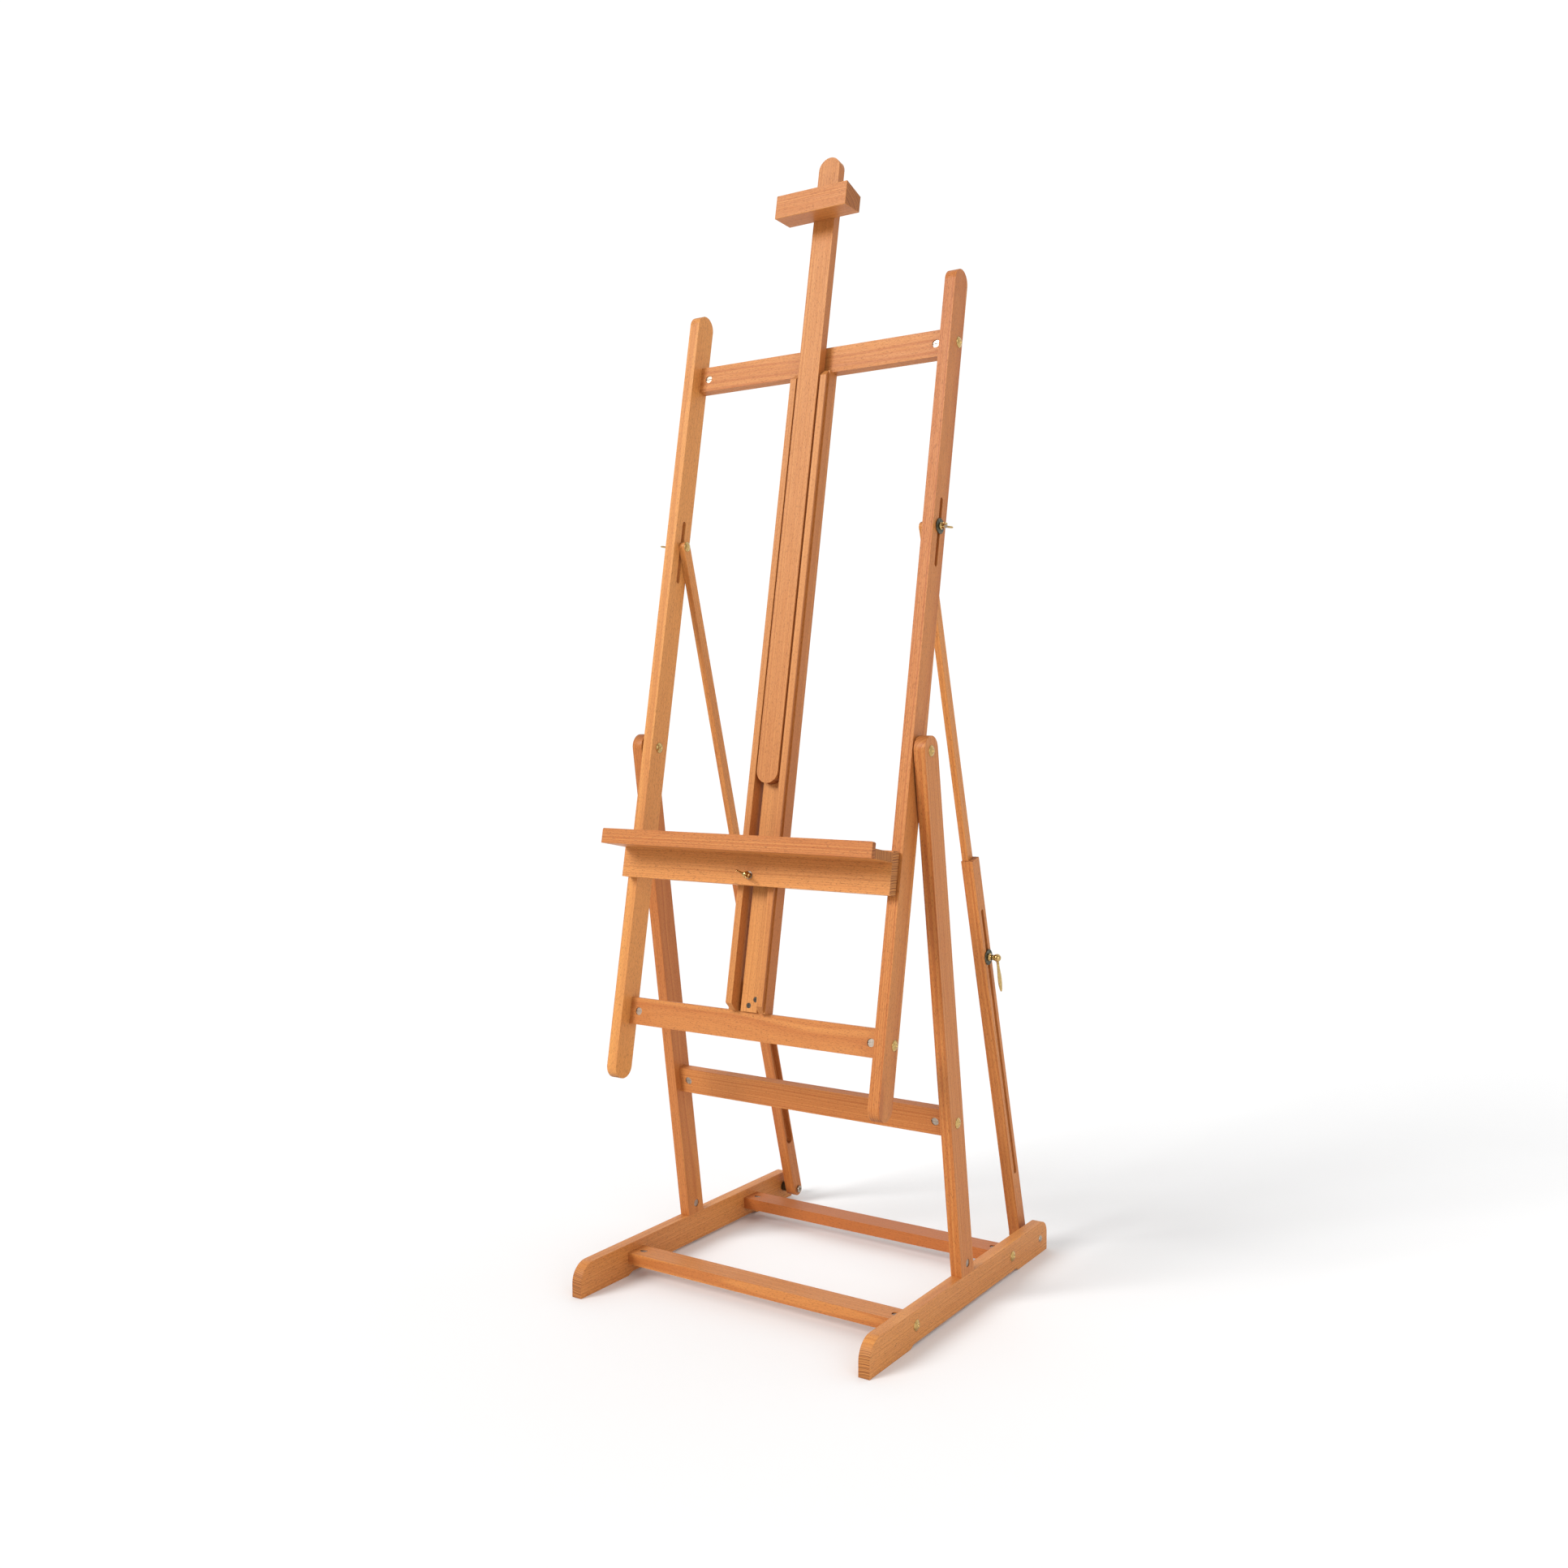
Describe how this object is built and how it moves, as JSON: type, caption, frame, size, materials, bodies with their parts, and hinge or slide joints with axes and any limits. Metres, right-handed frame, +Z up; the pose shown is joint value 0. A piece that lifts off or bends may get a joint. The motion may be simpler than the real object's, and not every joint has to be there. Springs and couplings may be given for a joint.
{
  "type": "artist easel",
  "caption": "Convertible wooden studio easel: two feet, forward-leaning legs, tilting frame with sliding mast and shelf, and telescopic rear struts.",
  "frame": {"origin": "middle of the feet, on the floor", "axes": "+Z up, +X to the right of someone facing the canvas side, the canvas side faces -Y"},
  "size_m": [0.608, 0.671, 2.013],
  "materials": {
    "beech": "oiled beech, satin",
    "beech_light": "oiled beech, satin, lighter boards",
    "beech_dark": "oiled beech, satin, redder boards",
    "brass": "polished pale brass",
    "dull_brass": "dull turned brass",
    "dark_washer": "dark olive-grey plated",
    "dark_steel": "browned steel"
  },
  "bodies": {
    "base": {"foot_left": "beech", "foot_right": "beech", "base_rail_front": "beech", "base_rail_rear": "beech", "leg_left": "beech", "leg_right": "beech", "leg_crossbar": "beech", "base_bolts": "brass", "base_barrel_nuts": "dull_brass", "leg_foot_bolts": "dark_steel", "tilt_bolts": "brass", "tilt_washers": "dark_washer", "strut_foot_bolts": "dull_brass", "strut_spacers": "dark_washer"},
    "easel_frame": {"upright_left": "beech", "upright_right": "beech", "top_crossbar": "beech", "bottom_crossbar": "beech", "channel_board": "beech_light", "guide_rail_left": "beech_light", "guide_rail_right": "beech_light", "channel_cleat_top": "beech_dark", "channel_cleat_bottom": "beech_dark", "channel_screws": "dark_steel", "channel_dowels": "beech_light", "frame_bolts": "brass", "frame_barrel_nuts": "dull_brass"},
    "mast_slider": {"mast": "beech_light", "mast_runners": "beech_dark", "mast_keeper_plate": "beech_dark", "mast_screws": "dark_steel", "canvas_clamp": "beech"},
    "mast_lock": {"mast_lock_screw": "brass"},
    "shelf": {"shelf_lip": "beech", "shelf_board": "beech", "shelf_support": "beech", "shelf_claw_left": "beech_dark", "shelf_claw_right": "beech_dark", "shelf_screws": "dark_steel", "shelf_insert": "dull_brass"},
    "shelf_lock": {"shelf_wing_screw": "brass"},
    "sleeve_left": {"strut_sleeve_left": "beech"},
    "bar_left": {"strut_bar_left": "beech", "strut_bolts_left": "brass", "clamp_washer_left": "dark_washer", "slot_stud_left": "dull_brass", "slot_washer_left": "dark_washer"},
    "lever_left": {"clamp_lever_left": "brass"},
    "wing_left": {"wing_nut_left": "brass"},
    "sleeve_right": {"strut_sleeve_right": "beech"},
    "bar_right": {"strut_bar_right": "beech", "strut_bolts_right": "brass", "clamp_washer_right": "dark_washer", "slot_stud_right": "dull_brass", "slot_washer_right": "dark_washer"},
    "lever_right": {"clamp_lever_right": "brass"},
    "wing_right": {"wing_nut_right": "brass"}
  },
  "joints": [
    {"name": "frame_tilt", "type": "hinge", "parent": "base", "child": "easel_frame", "pos_m": [0, -0.136, 0.957], "axis": [-1, 0, 0], "range_deg": [-10.8, 79.2]},
    {"name": "mast_slide", "type": "slide", "parent": "easel_frame", "child": "mast_slider", "axis": [0, 0.1874, 0.9823], "range_m": [-0.04, 0.56]},
    {"name": "mast_lock_turn", "type": "hinge", "parent": "mast_slider", "child": "mast_lock", "pos_m": [0, -0.10747, 0.94647], "axis": [0, 0.9823, -0.1874], "range_deg": [-180, 180]},
    {"name": "shelf_slide", "type": "slide", "parent": "easel_frame", "child": "shelf", "axis": [0, 0.1874, 0.9823], "range_m": [-0.17, 0.05]},
    {"name": "shelf_lock_turn", "type": "hinge", "parent": "shelf", "child": "shelf_lock", "pos_m": [0, -0.22671, 0.7483], "axis": [0, 0.9823, -0.1874], "range_deg": [-180, 180]},
    {"name": "strut_swing_left", "type": "hinge", "parent": "base", "child": "sleeve_left", "pos_m": [-0.254, 0.305, 0.0285], "axis": [1, 0, 0], "range_deg": [-13.49, 1.84]},
    {"name": "strut_extend_left", "type": "slide", "parent": "sleeve_left", "child": "bar_left", "axis": [0, -0.2747, 0.9615], "range_m": [-0.40806, 0.05573]},
    {"name": "strut_lever_left", "type": "hinge", "parent": "bar_left", "child": "lever_left", "pos_m": [-0.27, 0.14705, 0.58138], "axis": [-1, 0, 0], "range_deg": [-150, 150]},
    {"name": "wing_turn_left", "type": "hinge", "parent": "bar_left", "child": "wing_left", "pos_m": [-0.285, -0.06564, 1.32585], "axis": [-1, 0, 0], "range_deg": [-180, 180]},
    {"name": "strut_swing_right", "type": "hinge", "parent": "base", "child": "sleeve_right", "pos_m": [0.254, 0.305, 0.0285], "axis": [1, 0, 0], "range_deg": [-13.49, 1.84]},
    {"name": "strut_extend_right", "type": "slide", "parent": "sleeve_right", "child": "bar_right", "axis": [0, -0.2747, 0.9615], "range_m": [-0.40806, 0.05573]},
    {"name": "strut_lever_right", "type": "hinge", "parent": "bar_right", "child": "lever_right", "pos_m": [0.27, 0.14705, 0.58138], "axis": [1, 0, 0], "range_deg": [-150, 150]},
    {"name": "wing_turn_right", "type": "hinge", "parent": "bar_right", "child": "wing_right", "pos_m": [0.285, -0.06564, 1.32585], "axis": [1, 0, 0], "range_deg": [-180, 180]}
  ],
  "couplings": [
    {"joint": "strut_swing_left", "follows": "frame_tilt", "ratio": -0.17028},
    {"joint": "strut_extend_left", "follows": "frame_tilt", "m_per_rad": -0.29513},
    {"joint": "strut_swing_right", "follows": "frame_tilt", "ratio": -0.17028},
    {"joint": "strut_extend_right", "follows": "frame_tilt", "m_per_rad": -0.29513}
  ]
}
